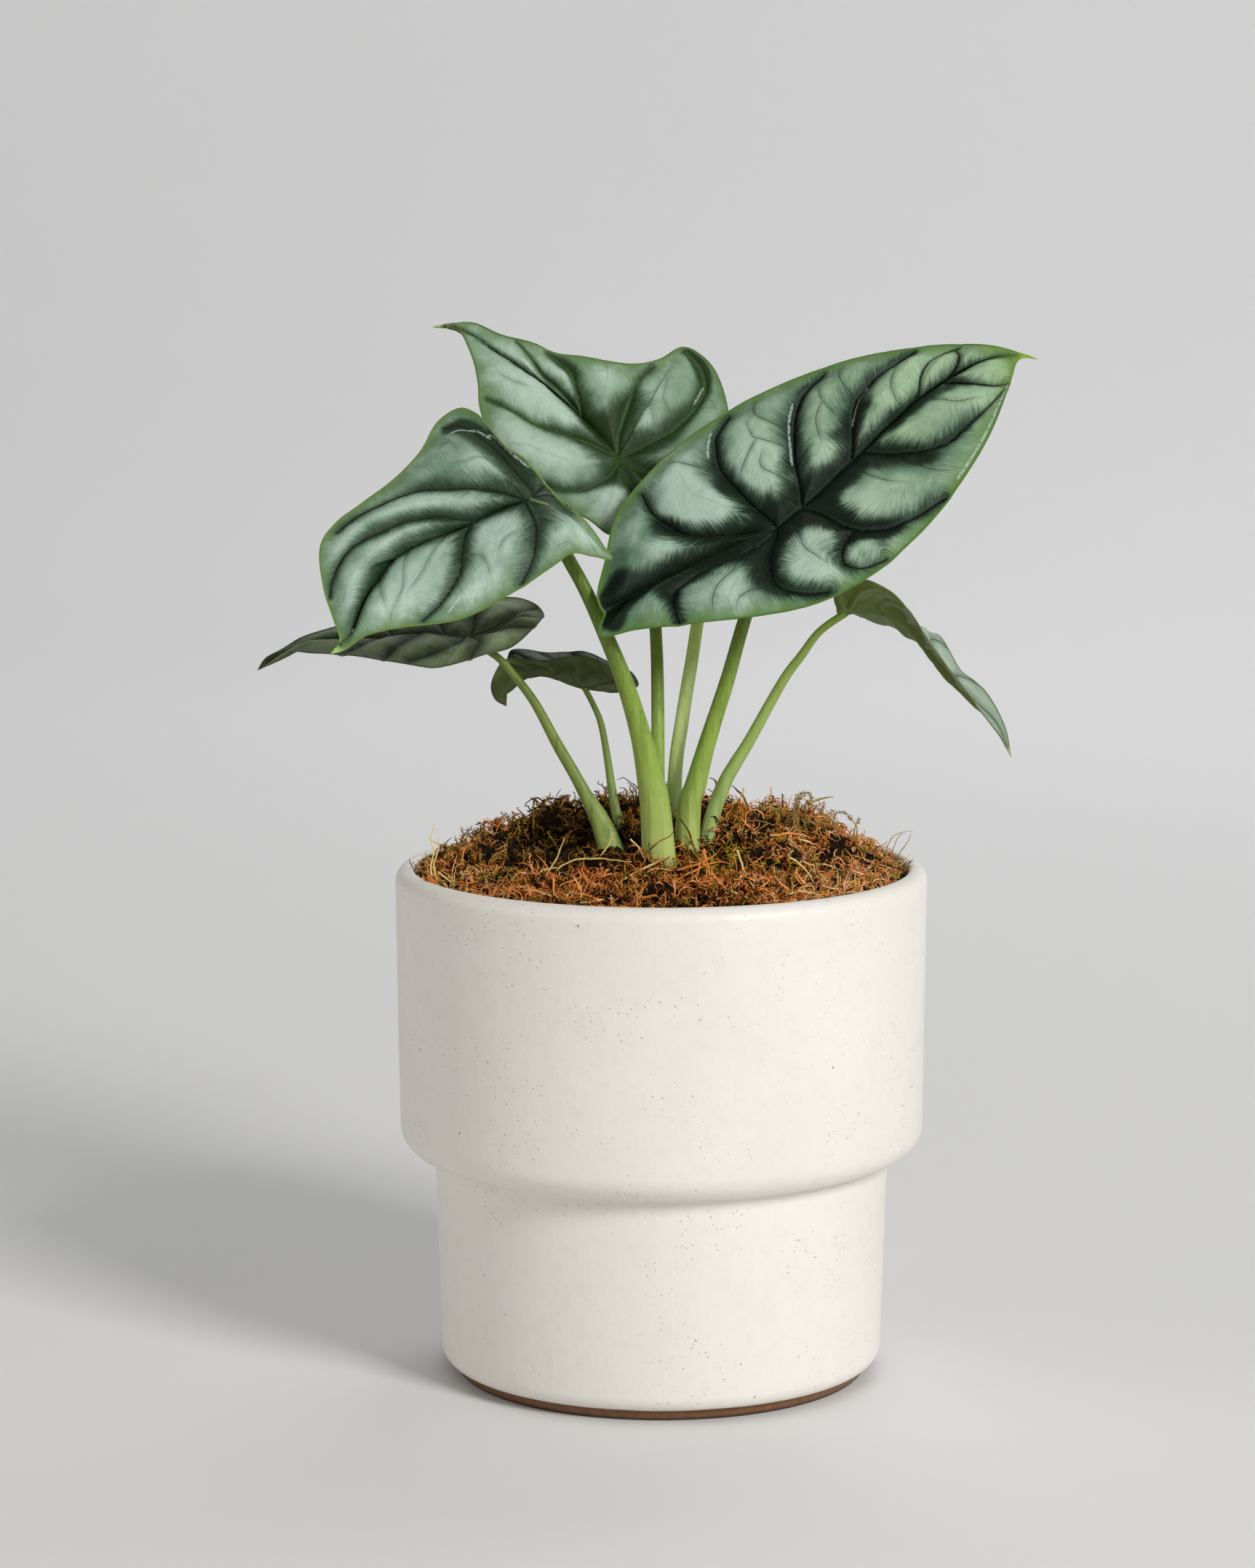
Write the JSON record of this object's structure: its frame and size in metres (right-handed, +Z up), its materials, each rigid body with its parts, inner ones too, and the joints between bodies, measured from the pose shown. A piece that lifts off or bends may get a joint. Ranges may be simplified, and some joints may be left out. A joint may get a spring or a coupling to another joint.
{
  "type": "potted alocasia",
  "caption": "Small broad-leaved alocasia with silver-green heart-shaped blades in a stepped cream stoneware pot topped with moss.",
  "frame": {"origin": "centre of the pot's flat underside", "axes": "+Z up along the pot's axis, +Y to the back of the plant and +X to the right when it is seen from its front"},
  "size_m": [0.2042, 0.141, 0.2762],
  "materials": {
    "pot_glaze": "matte cream stoneware glaze with fine pits and a bare clay foot",
    "soil": "dark damp potting mix",
    "moss": "dry sphagnum, orange-brown with olive patches and pale straw strands",
    "corm": "brown papery skin",
    "stalk": "smooth, pale green at the foot and darker above",
    "blade": "leathery, silver between near-black green veins, with a green margin"
  },
  "bodies": {
    "root": {"pot": "pot_glaze", "soil": "soil", "moss": "moss", "rhizome": "corm", "leaf_front_right": "blade", "leaf_back": "blade", "leaf_left": "blade", "leaf_low_left": "blade", "leaf_low_middle": "blade", "leaf_right": "blade", "leaf_hidden": "blade", "stalk_front_right": "stalk", "stalk_back": "stalk", "stalk_left": "stalk", "stalk_low_left": "stalk", "stalk_low_middle": "stalk", "stalk_right": "stalk", "stalk_hidden": "stalk"}
  },
  "joints": []
}
